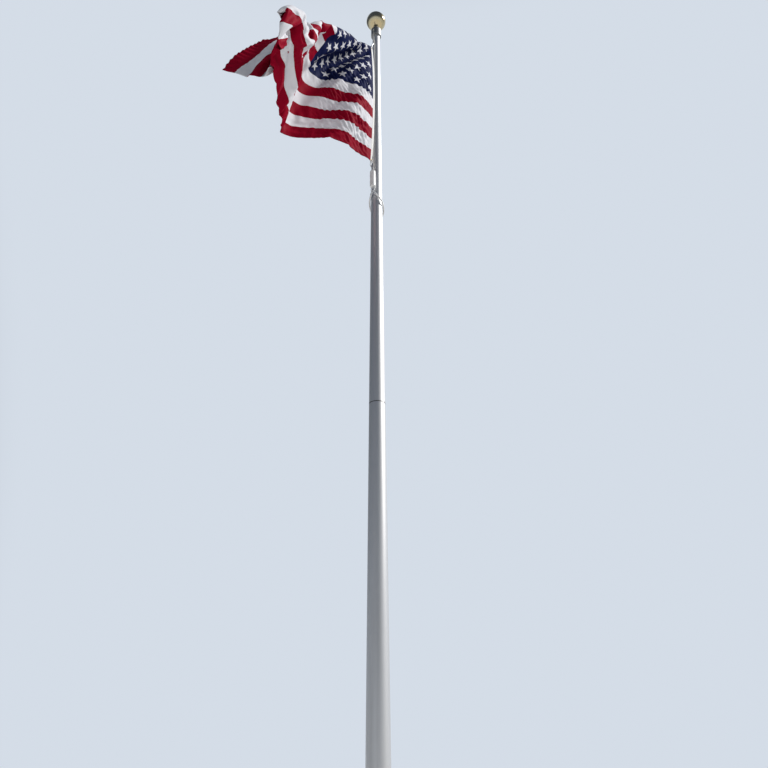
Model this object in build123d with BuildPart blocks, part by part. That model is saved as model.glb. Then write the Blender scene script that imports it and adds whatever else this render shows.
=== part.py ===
from build123d import *
from math import asin, cos, hypot, radians, sin, tan
import os

os.makedirs("parts", exist_ok=True)

# Driving dimensions, in millimetres. The origin is the pole's centre at ground level, +Z is up.
# The camera side of the pole is -Y, and the flag flies towards -X and -Y.

# Tapered pole in two sections
exposed_height = 12192
butt_diameter = 254
top_diameter = 110
taper_start = 1100
pole_wall = 6.35
joint_height = 5700
joint_reveal = 0.8
sleeve_length = 760
sleeve_wall = 6.35
sleeve_clearance = 0.25

# Spun collar that covers the hole in the ground
collar_radius = 245
collar_height = 115
collar_sheet = 3
collar_rim = 14
collar_waist_radius = 172
collar_waist_height = 48
collar_clearance = 0.3
seal_height = 9
seal_width = 7
seal_lip = 2.5

# Access door for the halyard cleat
door_height = 900
door_width = 102
door_length = 254
door_corner = 30
frame_width = 8
frame_lip = 10
frame_proud = 1.5
frame_depth = 9
door_gap = 0.8
door_plate = 4
seat_gap = 0.3
door_screw_pitch = 206
door_screw_radius = 3.2
door_screw_head_radius = 6.5
door_screw_head = 2.5
lock_radius = 9.5
lock_length = 24
lock_proud = 2.5
keyway_width = 2.2
keyway_length = 10
keyway_depth = 6
hole_clearance = 0.1

# Fixed plug and journal in the top of the pole
plug_length = 120
plug_clearance = 0.3
flange_radius = 56
flange_thickness = 10
journal_radius = 30
journal_length = 60
halyard_bore = 16
journal_fit = 0.05

# Revolving truck on the journal
truck_radius = 78
truck_gap = 0.5
truck_edge = 3
lead_angle = 240
sheave_radius = 40
sheave_groove = 5
sheave_thickness = 20
sheave_pitch_radius = 35
sheave_side_gap = 2
sheave_end_gap = 3
rope_room = 4
pin_radius = 7
pin_clearance = 0.1
cap_height = 50
cap_top_radius = 27
cap_shoulder_radius = 57.5
cap_shoulder_height = 31

# Ball finial on its threaded stem
stem_radius = 9.5
stem_seat = 38
nut_across_flats = 30
nut_height = 12
ball_radius = 152.4
ball_neck_radius = 24
ball_neck_height = 9
stem_reach = 40

# Halyard, snap hooks and header grommets
rope_radius = 4.75
knot_radius = 11
knot_length = 46
knot_round = 6
knot_drop = 162
snap_wire = 4.5
snap_width = 32
snap_loop = 88
snap_sleeve_radius = 9
snap_gap = 2.6
grommet_radius = 14
grommet_barrel = 8.5
grommet_hole = 7
grommet_lip = 1.2
grommet_inset = 32

# Flag: its header bows out from the pole in an arc, and the cloth follows guide points.
# Each guide row lies at one distance along the fly and runs from the top hem to the bottom hem,
# with its points at the seams that cloth_seams counts from the top, of thirteen stripes.
# Their heights are counted from the pole's top, so that the flag goes up and down with it.
header_top = (-56, -80, -372)
header_middle = (-20, -190, -1547)
header_bottom = (-60, -92, -2767)
header_lean = (-24, -48, 0)
header_thickness = 6
header_gap = 4.3
flag_thickness = 8
stripe_count = 13
cloth_seams = (0, 2.2, 4.4, 6.5, 8.7, 10.8, 13)
flag_rows = [
    [(-270, -250, -600), (-290, -320, -820), (-230, -450, -1190), (-220, -470, -1590),
     (-210, -470, -2000), (-250, -420, -2380), (-290, -350, -2790)],
    [(-370, -440, -800), (-360, -540, -930), (-500, -520, -1250), (-470, -620, -1620),
     (-480, -570, -2020), (-480, -580, -2410), (-490, -550, -2810)],
    [(-480, -620, -960), (-320, -760, -1080), (-620, -730, -1320), (-750, -670, -1650),
     (-750, -680, -2050), (-770, -620, -2430), (-760, -640, -2840)],
    [(-530, -850, -1100), (-470, -1000, -1160), (-570, -960, -1480), (-850, -900, -1720),
     (-1010, -790, -2070), (-1050, -710, -2450), (-1050, -680, -2860)],
    [(-670, -1020, -1300), (-660, -1110, -1340), (-610, -1240, -1540), (-830, -1150, -1830),
     (-1040, -1060, -2160), (-1160, -950, -2510), (-1240, -860, -2900)],
    [(-860, -1120, -1530), (-780, -1150, -1610), (-670, -1440, -1680), (-770, -1420, -1930),
     (-970, -1330, -2270), (-1090, -1220, -2600), (-1220, -1150, -2980)],
    [(-1040, -1290, -1710), (-890, -1230, -1860), (-860, -1510, -1880), (-720, -1680, -2050),
     (-870, -1580, -2390), (-1020, -1490, -2700), (-1190, -1440, -3050)],
    [(-1170, -1430, -1950), (-980, -1400, -2090), (-920, -1530, -2150), (-850, -1860, -2210),
     (-750, -1820, -2520), (-970, -1770, -2800), (-1180, -1720, -3120)],
    [(-1390, -1580, -2100), (-1090, -1570, -2310), (-1040, -1630, -2380), (-880, -1920, -2440),
     (-790, -2030, -2610), (-920, -2030, -2920), (-1140, -2020, -3180)],
    [(-1540, -1680, -2350), (-1220, -1710, -2550), (-1170, -1750, -2590), (-980, -2040, -2640),
     (-860, -2250, -2660), (-870, -2190, -3000), (-1120, -2270, -3150)],
    [(-1680, -1760, -2610), (-1360, -1790, -2800), (-1150, -1820, -2870), (-1100, -2160, -2860),
     (-910, -2480, -2810), (-850, -2450, -3080), (-1030, -2340, -3190)],
    [(-1820, -1750, -2870), (-1480, -1840, -3070), (-1210, -1940, -3120), (-1130, -2210, -3120),
     (-1000, -2560, -3080), (-1010, -2640, -3150), (-1070, -2430, -3320)],
]

# Counterweight, on the side of the pole that weight_angle gives
weight_radius = 39
weight_length = 285
weight_round = 16
weight_drop = 3220
weight_angle = 245
weight_room = 6
eye_wire = 4
eye_radius = 10
eye_stem = 30
touch_gap = 0.3

# Retainer sling: a covered cable round the pole, joined by two swaged eyes on a link
link_wire = 4.5
link_width = 56
link_length = 62
sling_radius = 11
sling_room = 6
sling_drop = 300
sling_first_corner = 50
sling_corner_step = 26
sling_eye_gap = 0.5
sling_eye_radius = 13
sling_eye_wire = 3
ferrule_length = 36
ferrule_wall = 2.5
ferrule_reach = 9
bend_share = 0.45


def pole_radius(height):
    """Outer radius of the pole: a straight butt, then a straight taper to the top."""
    if height <= taper_start:
        return butt_diameter / 2
    share = (height - taper_start) / (exposed_height - taper_start)
    return (butt_diameter + (top_diameter - butt_diameter) * share) / 2


def lead_point(reach, side=0, height=0):
    """A point given by its reach from the pole's axis towards the side where the halyard leads out."""
    along = Vector(cos(radians(lead_angle)), sin(radians(lead_angle)), 0)
    across = Vector(-along.Y, along.X, 0)
    return along * reach + across * side + Vector(0, 0, height)


def lead_plane(height):
    """A level plane whose X points to the side where the halyard leads out."""
    return Plane(origin=(0, 0, height), x_dir=lead_point(1), z_dir=(0, 0, 1))


def finish(builder, name):
    builder.part.label = name
    export_step(builder.part, f"parts/{name}.step")


# Pole sections, each a thin tapered tube. They meet in a hairline seam over an inner sleeve.
with BuildPart() as butt_section:
    with BuildSketch(Plane.XZ):
        with BuildLine():
            joint_radius = pole_radius(joint_height)
            Polyline(
                (butt_diameter / 2, 0),
                (butt_diameter / 2, taper_start),
                (joint_radius, joint_height - joint_reveal),
                (joint_radius - joint_reveal, joint_height),
                (joint_radius - pole_wall, joint_height),
                (butt_diameter / 2 - pole_wall, taper_start),
                (butt_diameter / 2 - pole_wall, 0),
                close=True,
            )
        make_face()
    revolve(axis=Axis.Z)
    with BuildSketch(Plane.XZ.offset(butt_diameter / 4)):
        with Locations((0, door_height)):
            RectangleRounded(door_width, door_length, door_corner)
    extrude(amount=butt_diameter, mode=Mode.SUBTRACT)
finish(butt_section, "butt_section")

with BuildPart() as upper_section:
    with BuildSketch(Plane.XZ):
        with BuildLine():
            Polyline(
                (joint_radius - pole_wall, joint_height),
                (joint_radius - joint_reveal, joint_height),
                (joint_radius, joint_height + joint_reveal),
                (top_diameter / 2, exposed_height),
                (top_diameter / 2 - pole_wall, exposed_height),
                close=True,
            )
        make_face()
    revolve(axis=Axis.Z)
finish(upper_section, "upper_section")

sleeve_foot = joint_height - sleeve_length / 2
sleeve_head = joint_height + sleeve_length / 2
sleeve_inset = pole_wall + sleeve_clearance
with BuildPart() as splice_sleeve:
    with BuildSketch(Plane.XZ):
        with BuildLine():
            Polyline(
                (pole_radius(sleeve_foot) - sleeve_inset, sleeve_foot),
                (pole_radius(sleeve_head) - sleeve_inset, sleeve_head),
                (pole_radius(sleeve_head) - sleeve_inset - sleeve_wall, sleeve_head),
                (pole_radius(sleeve_foot) - sleeve_inset - sleeve_wall, sleeve_foot),
                close=True,
            )
        make_face()
    revolve(axis=Axis.Z)
finish(splice_sleeve, "splice_sleeve")

# Collar: sheet metal spun to a bell that rests on the ground, with a rubber seal above it.
collar_bore = butt_diameter / 2 + collar_clearance
collar_slant = collar_sheet / 2**0.5
with BuildPart() as flash_collar:
    with BuildSketch(Plane.XZ):
        with BuildLine():
            collar_outside = ThreePointArc(
                (collar_radius - collar_sheet, collar_rim),
                (collar_waist_radius, collar_waist_height),
                (collar_bore + collar_sheet, collar_height),
            )
            Line(collar_outside @ 1, (collar_bore, collar_height))
            collar_inside = ThreePointArc(
                (collar_bore, collar_height - collar_sheet),
                (collar_waist_radius - collar_slant, collar_waist_height - collar_slant),
                (collar_radius - collar_sheet * 2, collar_rim - collar_sheet),
            )
            Line((collar_bore, collar_height), collar_inside @ 0)
            Polyline(
                collar_inside @ 1,
                (collar_radius - collar_sheet, collar_rim - collar_sheet),
                (collar_radius - collar_sheet, 0),
                (collar_radius, 0),
                (collar_radius, collar_rim),
                collar_outside @ 0,
            )
        make_face()
    revolve(axis=Axis.Z)
finish(flash_collar, "flash_collar")

with BuildPart() as collar_seal:
    with BuildSketch(Plane.XZ):
        with BuildLine():
            Polyline(
                (collar_bore, collar_height),
                (collar_bore + seal_width, collar_height),
                (collar_bore + seal_lip, collar_height + seal_height),
                (collar_bore, collar_height + seal_height),
                close=True,
            )
        make_face()
    revolve(axis=Axis.Z)
finish(collar_seal, "collar_seal")

# Access door on the camera side. A frame is let into the butt, and the curved door lies on its lip.
butt_radius = butt_diameter / 2
frame_outside = butt_radius + frame_proud
frame_inside = butt_radius - pole_wall - frame_depth
door_seat = butt_radius - door_plate - seat_gap
frame_plane = Plane.XZ.offset(butt_radius / 2)


def shell_band(inner, outer):
    """The ring between two radii at the height of the door, which its pieces are cut from."""
    with BuildPart() as band:
        with BuildSketch(Plane.XY.offset(door_height - door_length)):
            Circle(outer)
            Circle(inner, mode=Mode.SUBTRACT)
        extrude(amount=door_length * 2)
    return band.part


with BuildPart() as door_frame:
    with BuildSketch(frame_plane):
        with Locations((0, door_height)):
            RectangleRounded(
                door_width - 2 * hole_clearance,
                door_length - 2 * hole_clearance,
                door_corner - hole_clearance,
            )
            RectangleRounded(
                door_width - 2 * frame_width,
                door_length - 2 * frame_width,
                door_corner - frame_width,
                mode=Mode.SUBTRACT,
            )
    extrude(amount=butt_radius)
    add(shell_band(frame_inside, frame_outside), mode=Mode.INTERSECT)
with BuildPart() as door_lip:
    with BuildSketch(frame_plane):
        with Locations((0, door_height)):
            RectangleRounded(
                door_width - 2 * frame_width,
                door_length - 2 * frame_width,
                door_corner - frame_width,
            )
            RectangleRounded(
                door_width - 2 * frame_width - 2 * frame_lip,
                door_length - 2 * frame_width - 4 * frame_lip,
                door_corner - frame_width - frame_lip / 2,
                mode=Mode.SUBTRACT,
            )
    extrude(amount=butt_radius)
    add(shell_band(frame_inside, door_seat), mode=Mode.INTERSECT)
screw_spots = [(0, door_height - door_screw_pitch / 2), (0, door_height + door_screw_pitch / 2)]
with BuildPart() as framed_door:
    add(door_frame.part)
    add(door_lip.part)
    with BuildSketch(frame_plane):
        with Locations(screw_spots):
            Circle(door_screw_radius + hole_clearance)
    extrude(amount=butt_radius, mode=Mode.SUBTRACT)
finish(framed_door, "door_frame")

with BuildPart() as access_door:
    with BuildSketch(frame_plane):
        with Locations((0, door_height)):
            RectangleRounded(
                door_width - 2 * frame_width - 2 * door_gap,
                door_length - 2 * frame_width - 2 * door_gap,
                door_corner - frame_width - door_gap,
            )
            Circle(lock_radius + hole_clearance, mode=Mode.SUBTRACT)
        with Locations(screw_spots):
            Circle(door_screw_radius + hole_clearance, mode=Mode.SUBTRACT)
    extrude(amount=butt_radius)
    add(shell_band(butt_radius - door_plate, butt_radius), mode=Mode.INTERSECT)
finish(access_door, "access_door")

with BuildPart() as door_screws:
    with BuildSketch(Plane.XZ.offset(butt_radius)):
        with Locations(screw_spots):
            Circle(door_screw_head_radius)
    extrude(amount=door_screw_head)
    with BuildSketch(Plane.XZ.offset(butt_radius)):
        with Locations(screw_spots):
            Circle(door_screw_radius)
    extrude(amount=-(door_plate + pole_wall))
finish(door_screws, "door_screws")

with BuildPart() as door_lock:
    with BuildSketch(Plane.XZ.offset(butt_radius + lock_proud)):
        with Locations((0, door_height)):
            Circle(lock_radius)
    extrude(amount=-lock_length)
    with BuildSketch(Plane.XZ.offset(butt_radius + lock_proud)):
        with Locations((0, door_height)):
            Rectangle(keyway_width, keyway_length)
    extrude(amount=-keyway_depth, mode=Mode.SUBTRACT)
finish(door_lock, "door_lock")

# Plug pressed into the pole's top. Its hollow journal carries the truck and lets the halyard through.
plug_radius = top_diameter / 2 - pole_wall - plug_clearance
flange_top = exposed_height + flange_thickness
journal_top = flange_top + journal_length
with BuildPart() as truck_spindle:
    with BuildSketch(Plane.XZ):
        with BuildLine():
            Polyline(
                (halyard_bore, exposed_height - plug_length),
                (plug_radius, exposed_height - plug_length),
                (plug_radius, exposed_height),
                (flange_radius, exposed_height),
                (flange_radius, flange_top),
                (journal_radius, flange_top),
                (journal_radius, journal_top),
                (halyard_bore, journal_top),
                close=True,
            )
        make_face()
    revolve(axis=Axis.Z)
finish(truck_spindle, "truck_spindle")

# Truck: a cast housing that turns on the journal. A slot towards the lead side holds the sheave.
truck_foot = flange_top + truck_gap
sheave_height = journal_top + sheave_end_gap + sheave_radius
truck_top = sheave_height + sheave_radius + sheave_end_gap
slot_width = sheave_thickness + 2 * sheave_side_gap
pin_half_length = (truck_radius**2 - (sheave_pitch_radius + pin_radius) ** 2) ** 0.5
pin_plane = Plane(
    origin=lead_point(sheave_pitch_radius, 0, sheave_height),
    x_dir=lead_point(1),
    z_dir=lead_point(0, 1),
)
rope_reach = 2 * sheave_pitch_radius
with BuildPart() as truck_body:
    with BuildSketch(Plane.XY.offset(truck_foot)):
        Circle(truck_radius)
    extrude(amount=truck_top - truck_foot)
    fillet(truck_body.edges().group_by(Axis.Z)[0], truck_edge)
    with BuildSketch(Plane.XY.offset(truck_foot)):
        Circle(journal_radius + journal_fit)
    extrude(amount=journal_top + truck_gap - truck_foot, mode=Mode.SUBTRACT)
    with BuildSketch(lead_plane(journal_top)):
        with Locations((rope_reach, 0)):
            Rectangle(2 * (rope_reach + sheave_radius - sheave_pitch_radius + sheave_end_gap), slot_width)
    extrude(amount=truck_top - journal_top, mode=Mode.SUBTRACT)
    with BuildSketch(lead_plane(truck_foot)):
        with Locations((truck_radius, 0)):
            Rectangle(2 * (truck_radius - rope_reach + rope_radius + rope_room), slot_width)
    extrude(amount=truck_top - truck_foot, mode=Mode.SUBTRACT)
    with BuildSketch(pin_plane):
        Circle(pin_radius + pin_clearance)
    extrude(amount=truck_radius, both=True, mode=Mode.SUBTRACT)
finish(truck_body, "truck_body")

with BuildPart() as sheave:
    with BuildSketch(pin_plane):
        Circle(sheave_radius)
        Circle(pin_radius + pin_clearance, mode=Mode.SUBTRACT)
    extrude(amount=sheave_thickness / 2, both=True)
    with BuildSketch(Plane(origin=pin_plane.origin, x_dir=lead_point(1), z_dir=(0, 0, 1))):
        with Locations((sheave_pitch_radius, 0)):
            Circle(sheave_groove)
        with Locations((sheave_pitch_radius + sheave_radius / 2, 0)):
            Rectangle(sheave_radius, 2 * sheave_groove)
    revolve(axis=Axis(pin_plane.origin, lead_point(0, 1)), mode=Mode.SUBTRACT)
finish(sheave, "sheave")

with BuildPart() as sheave_pin:
    with BuildSketch(pin_plane):
        Circle(pin_radius)
    extrude(amount=pin_half_length, both=True)
finish(sheave_pin, "sheave_pin")

cap_top = truck_top + cap_height
with BuildPart() as truck_cap:
    with BuildSketch(Plane.XZ):
        with BuildLine():
            cap_slope = ThreePointArc(
                (truck_radius, truck_top),
                (cap_shoulder_radius, truck_top + cap_shoulder_height),
                (cap_top_radius, cap_top),
            )
            Polyline(
                cap_slope @ 1,
                (stem_radius + hole_clearance, cap_top),
                (stem_radius + hole_clearance, cap_top - stem_seat),
                (0, cap_top - stem_seat),
                (0, truck_top),
                cap_slope @ 0,
            )
        make_face()
    revolve(axis=Axis.Z)
finish(truck_cap, "truck_cap")

# Ball finial: the stem screws into the cap, the nut locks it, and the ball sits on the nut.
ball_foot = cap_top + nut_height
ball_height = ball_foot + ball_neck_height + ball_radius - ball_neck_radius**2 / (2 * ball_radius)
with BuildPart() as ball_stem:
    with BuildSketch(Plane.XY.offset(cap_top - stem_seat)):
        Circle(stem_radius)
    extrude(amount=stem_seat + nut_height + stem_reach)
finish(ball_stem, "ball_stem")

with BuildPart() as stem_nut:
    with BuildSketch(Plane.XY.offset(cap_top)):
        RegularPolygon(nut_across_flats / 2, 6, major_radius=False)
        Circle(stem_radius + hole_clearance, mode=Mode.SUBTRACT)
    extrude(amount=nut_height)
finish(stem_nut, "stem_nut")

with BuildPart() as ball_finial:
    with BuildSketch(Plane.XY.offset(ball_foot)):
        Circle(ball_neck_radius)
    extrude(amount=ball_radius)
    with Locations((0, 0, ball_height)):
        Sphere(ball_radius)
    with BuildSketch(Plane.XY.offset(ball_foot)):
        Circle(stem_radius + hole_clearance)
    extrude(amount=stem_reach + touch_gap, mode=Mode.SUBTRACT)
finish(ball_finial, "ball_finial")

# Halyard: up through the journal, over the sheave and down to the knot, then on to the counterweight.
side_plane = Plane(origin=(0, 0, 0), x_dir=lead_point(1), z_dir=lead_point(0, -1))
knot_foot = exposed_height - knot_drop - knot_length / 2
knot_head = knot_foot + knot_length
with BuildPart() as halyard:
    with BuildLine(side_plane) as halyard_path:
        rise = Line((0, exposed_height - plug_length), (0, sheave_height))
        turn = ThreePointArc(
            rise @ 1,
            (sheave_pitch_radius, sheave_height + sheave_pitch_radius),
            (rope_reach, sheave_height),
        )
        Line(turn @ 1, (rope_reach, knot_head))
    with BuildSketch(Plane(origin=halyard_path.line @ 0, z_dir=halyard_path.line % 0)):
        Circle(rope_radius)
    sweep(path=halyard_path.line)
finish(halyard, "halyard")

with BuildPart() as halyard_knot:
    with BuildSketch(Plane(origin=lead_point(rope_reach, 0, knot_foot), z_dir=(0, 0, 1))):
        Circle(knot_radius)
    extrude(amount=knot_length)
    fillet(halyard_knot.edges().filter_by(GeomType.CIRCLE), knot_round)
finish(halyard_knot, "halyard_knot")


def straight_rod(start, end, radius):
    """A round rod between two points."""
    with BuildPart() as rod:
        with BuildSketch(Plane(origin=start, z_dir=Vector(end) - Vector(start))):
            Circle(radius)
        extrude(amount=(Vector(end) - Vector(start)).length)
    return rod.part


def wire_loop(start, end, across, width, wire):
    """A long link of round wire from start to end, lying in the plane of its axis and across."""
    along = (Vector(end) - Vector(start)).normalized()
    normal = along.cross(Vector(across)).normalized()
    half = width / 2 - wire
    reach = (Vector(end) - Vector(start)).length
    with BuildPart() as loop:
        with BuildLine(Plane(origin=start, x_dir=along, z_dir=normal)) as track:
            near = ThreePointArc((half, half), (0, 0), (half, -half))
            side = Line(near @ 1, (reach - half, -half))
            far = ThreePointArc(side @ 1, (reach, 0), (reach - half, half))
            Line(far @ 1, near @ 0)
        with BuildSketch(Plane(origin=track.line @ 0, z_dir=track.line % 0)):
            Circle(wire)
        sweep(path=track.line)
    return loop.part


# Header: canvas tape down the hoist, bowed by the pull of the cloth, with a grommet at each end.
pole_top = Vector(0, 0, exposed_height)
hoist_points = [Vector(point) + pole_top for point in (header_top, header_middle, header_bottom)]
hoist_arc = ThreePointArc(*hoist_points, mode=Mode.PRIVATE)
header_width = hypot(header_lean[0], header_lean[1])


def header_spot(share, across=0.5):
    """A point on the header at a share of its length from the top and a share of its width."""
    return hoist_arc @ share + Vector(header_lean) * across


def header_normal(share):
    """The direction that the header faces at a share of its length from the top."""
    return Vector(header_lean).cross(hoist_arc % share).normalized()


grommet_share = grommet_inset / hoist_arc.length
grommet_seats = [
    Plane(origin=header_spot(share), z_dir=header_normal(share))
    for share in (grommet_share, 1 - grommet_share)
]
header_steps = 8
with BuildPart() as flag_header:
    header_rows = [
        [header_spot(step / header_steps, 0), header_spot(step / header_steps, 1)]
        for step in range(header_steps + 1)
    ]
    thicken(Face.make_surface_from_array_of_points(header_rows), amount=header_thickness / 2, both=True)
    for seat in grommet_seats:
        with BuildSketch(seat):
            Circle(grommet_barrel + hole_clearance)
        extrude(amount=header_thickness, both=True, mode=Mode.SUBTRACT)
finish(flag_header, "flag_header")

with BuildPart() as header_grommets:
    for seat in grommet_seats:
        with BuildSketch(seat):
            Circle(grommet_barrel)
        extrude(amount=header_thickness / 2 + grommet_lip, both=True)
        for face_side in (1, -1):
            with BuildSketch(seat.offset(face_side * (header_thickness / 2 + hole_clearance))):
                Circle(grommet_radius)
            extrude(amount=face_side * grommet_lip)
        with BuildSketch(seat):
            Circle(grommet_hole)
        extrude(amount=header_thickness, both=True, mode=Mode.SUBTRACT)
finish(header_grommets, "header_grommets")

# Flag: one sheet of cloth. It leaves the header straight on, and then passes through the guide points.
cloth_start = 1 + header_gap / header_width
cloth_guides = [
    [header_spot(seam / stripe_count, reach) for seam in cloth_seams]
    for reach in (cloth_start, cloth_start + 1)
] + [[Vector(point) + pole_top for point in row] for row in flag_rows]
cloth_middle = Face.make_surface_from_array_of_points(cloth_guides, tol=1)


def cloth_side(offset):
    """One side of the cloth: its guide points, moved off the middle surface along the normals."""
    return Face.make_surface_from_array_of_points(
        [[point + cloth_middle.normal_at(point) * offset for point in row] for row in cloth_guides],
        tol=1,
    )


front, back = cloth_side(flag_thickness / 2), cloth_side(-flag_thickness / 2)
hems = [Face.make_surface_from_curves(*rims) for rims in zip(front.edges(), back.edges())]
with BuildPart() as flag:
    add(Solid(Shell([front, back, *hems])))
finish(flag, "flag")
print(f"flag: cloth area {cloth_middle.area / 1e6:.2f} m2, header length {hoist_arc.length:.0f} mm")

# Counterweight: a covered weight that hangs against the pole, with an eye screwed into each end.
weight_foot = exposed_height - weight_drop
weight_reach = pole_radius(weight_foot) + weight_room + weight_radius
weight_head = weight_foot + weight_length


def weight_side(reach, side=0, height=0):
    """A point given by its reach from the pole's axis towards the side where the weight hangs."""
    along = Vector(cos(radians(weight_angle)), sin(radians(weight_angle)), 0)
    across = Vector(-along.Y, along.X, 0)
    return along * reach + across * side + Vector(0, 0, height)


outward = weight_side(1)
sideways = weight_side(0, 1)
with BuildPart() as counterweight:
    with BuildSketch(Plane(origin=weight_side(weight_reach, 0, weight_foot), z_dir=(0, 0, 1))):
        Circle(weight_radius)
    extrude(amount=weight_length)
    fillet(counterweight.edges().filter_by(GeomType.CIRCLE), weight_round)
    with BuildSketch(Plane(origin=weight_side(weight_reach, 0, weight_foot), z_dir=(0, 0, 1))):
        Circle(eye_wire + hole_clearance)
    extrude(amount=eye_stem + touch_gap, mode=Mode.SUBTRACT)
    with BuildSketch(Plane(origin=weight_side(weight_reach, 0, weight_head), z_dir=(0, 0, 1))):
        Circle(eye_wire + hole_clearance)
    extrude(amount=-(eye_stem + touch_gap), mode=Mode.SUBTRACT)
finish(counterweight, "counterweight")

eye_offset = eye_radius + eye_wire + touch_gap
eye_centres = [
    weight_side(weight_reach, 0, weight_head + eye_offset),
    weight_side(weight_reach, 0, weight_foot - eye_offset),
]
with BuildPart() as weight_eyes:
    for eye_centre, stem_way in zip(eye_centres, (-1, 1)):
        with BuildSketch(Plane(origin=eye_centre, x_dir=outward, z_dir=(0, 0, 1))):
            with Locations((eye_radius, 0)):
                Circle(eye_wire)
        revolve(axis=Axis(eye_centre, sideways))
        stem_start = eye_centre + Vector(0, 0, stem_way * eye_radius)
        with BuildSketch(Plane(origin=stem_start, z_dir=(0, 0, stem_way))):
            Circle(eye_wire)
        extrude(amount=eye_wire + touch_gap + eye_stem)
finish(weight_eyes, "weight_eyes")

# Snap hooks: a sleeved shank from the halyard or the weight, and a wire loop through the grommet.


def snap_hook(name, start, seat):
    reach = seat.origin - start
    along = (reach - seat.z_dir * reach.dot(seat.z_dir)).normalized()
    loop_start = seat.origin - along * snap_loop
    shank_way = (loop_start - start).normalized()
    with BuildPart() as hook:
        add(wire_loop(loop_start, seat.origin, seat.z_dir, snap_width, snap_wire))
        add(straight_rod(start, loop_start + shank_way * snap_wire, snap_sleeve_radius))
    finish(hook, name)


snap_hook("top_snap", lead_point(rope_reach, 0, knot_foot - snap_gap), grommet_seats[0])
snap_hook("bottom_snap", eye_centres[0] + Vector(0, 0, eye_offset), grommet_seats[1])

# Link from the weight's lower eye, and the two swaged eyes of the sling on its lower bend.
link_top = eye_centres[1] - Vector(0, 0, eye_radius - eye_wire - link_wire - touch_gap)
link_foot = link_top - Vector(0, 0, link_length)
with BuildPart() as sling_link:
    add(wire_loop(link_top, link_foot, sideways, link_width, link_wire))
finish(sling_link, "sling_link")

link_bend = link_width / 2 - link_wire
sling_eye_spread = sling_radius + ferrule_wall + sling_eye_gap
bend_slope = asin(sling_eye_spread / link_bend)
bend_height = link_foot.Z + link_bend * (1 - cos(bend_slope))
wire_top = link_wire / cos(bend_slope) + sling_eye_wire * tan(bend_slope)
sling_eye_height = bend_height - (sling_eye_radius - sling_eye_wire - wire_top - touch_gap)
sling_start_height = sling_eye_height - sling_eye_radius
sling_reach = pole_radius(sling_start_height - sling_drop) + sling_room + sling_radius
sling_corner_reach = sling_reach / cos(radians(sling_corner_step / 2))


def sling_corner(turn):
    """A corner of the sling's route, on the slanting plane that the sling hangs in."""
    along = sling_corner_reach * cos(radians(turn))
    rise = sling_drop * (along + sling_corner_reach) / (weight_reach + sling_corner_reach)
    return weight_side(
        along,
        sling_corner_reach * sin(radians(turn)),
        sling_start_height - sling_drop + rise,
    )


corner_turns = [sling_first_corner]
while corner_turns[-1] < 360 - sling_first_corner:
    corner_turns.append(corner_turns[-1] + sling_corner_step)
sling_corners = [sling_corner(turn) for turn in corner_turns]
eye_feet = [weight_side(weight_reach, side * sling_eye_spread, sling_start_height) for side in (1, -1)]
arm_ways = [
    (sling_corners[0] - eye_feet[0]).normalized(),
    (sling_corners[-1] - eye_feet[1]).normalized(),
]
sling_ends = [foot + way * (ferrule_reach + ferrule_wall) for foot, way in zip(eye_feet, arm_ways)]
sling_route = [sling_ends[0], *sling_corners, sling_ends[1]]
sling_bends = []
for before, corner, after in zip(sling_route, sling_route[1:], sling_route[2:]):
    half_turn = radians((corner - before).get_angle(after - corner) / 2)
    shorter_run = min((corner - before).length, (after - corner).length)
    sling_bends.append(bend_share * shorter_run * cos(half_turn) / sin(half_turn))
with BuildPart() as retainer_sling:
    with BuildLine() as sling_path:
        FilletPolyline(*sling_route, radius=sling_bends)
    with BuildSketch(Plane(origin=sling_path.line @ 0, z_dir=sling_path.line % 0)):
        Circle(sling_radius)
    sweep(path=sling_path.line)
finish(retainer_sling, "retainer_sling")
print(f"sling: {sum(edge.length for edge in sling_path.edges()):.0f} mm long")

with BuildPart() as sling_eyes:
    for foot, way in zip(eye_feet, arm_ways):
        ring_centre = foot + Vector(0, 0, sling_eye_radius)
        with BuildSketch(Plane(origin=ring_centre, x_dir=outward, z_dir=(0, 0, 1))):
            with Locations((sling_eye_radius, 0)):
                Circle(sling_eye_wire)
        revolve(axis=Axis(ring_centre, sideways))
        add(straight_rod(foot, foot + way * (ferrule_reach + ferrule_wall / 2), sling_eye_wire))
        ferrule_plane = Plane(origin=foot + way * ferrule_reach, z_dir=way)
        with BuildSketch(ferrule_plane):
            Circle(sling_radius + ferrule_wall)
        extrude(amount=ferrule_length)
        with BuildSketch(ferrule_plane.offset(ferrule_wall)):
            Circle(sling_radius + hole_clearance)
        extrude(amount=ferrule_length, mode=Mode.SUBTRACT)
finish(sling_eyes, "sling_eyes")

# Tail of the halyard: straight from the knot to the weight's upper eye, between the header and the pole.
tail_side = rope_radius + snap_sleeve_radius + touch_gap
with BuildPart() as halyard_tail:
    add(
        straight_rod(
            lead_point(rope_reach, tail_side, knot_foot - touch_gap),
            eye_centres[0] + sideways * tail_side + Vector(0, 0, eye_radius),
            rope_radius,
        )
    )
finish(halyard_tail, "halyard_tail")
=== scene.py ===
import math

import bpy
import numpy as np
from mathutils import Matrix, Vector


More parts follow.
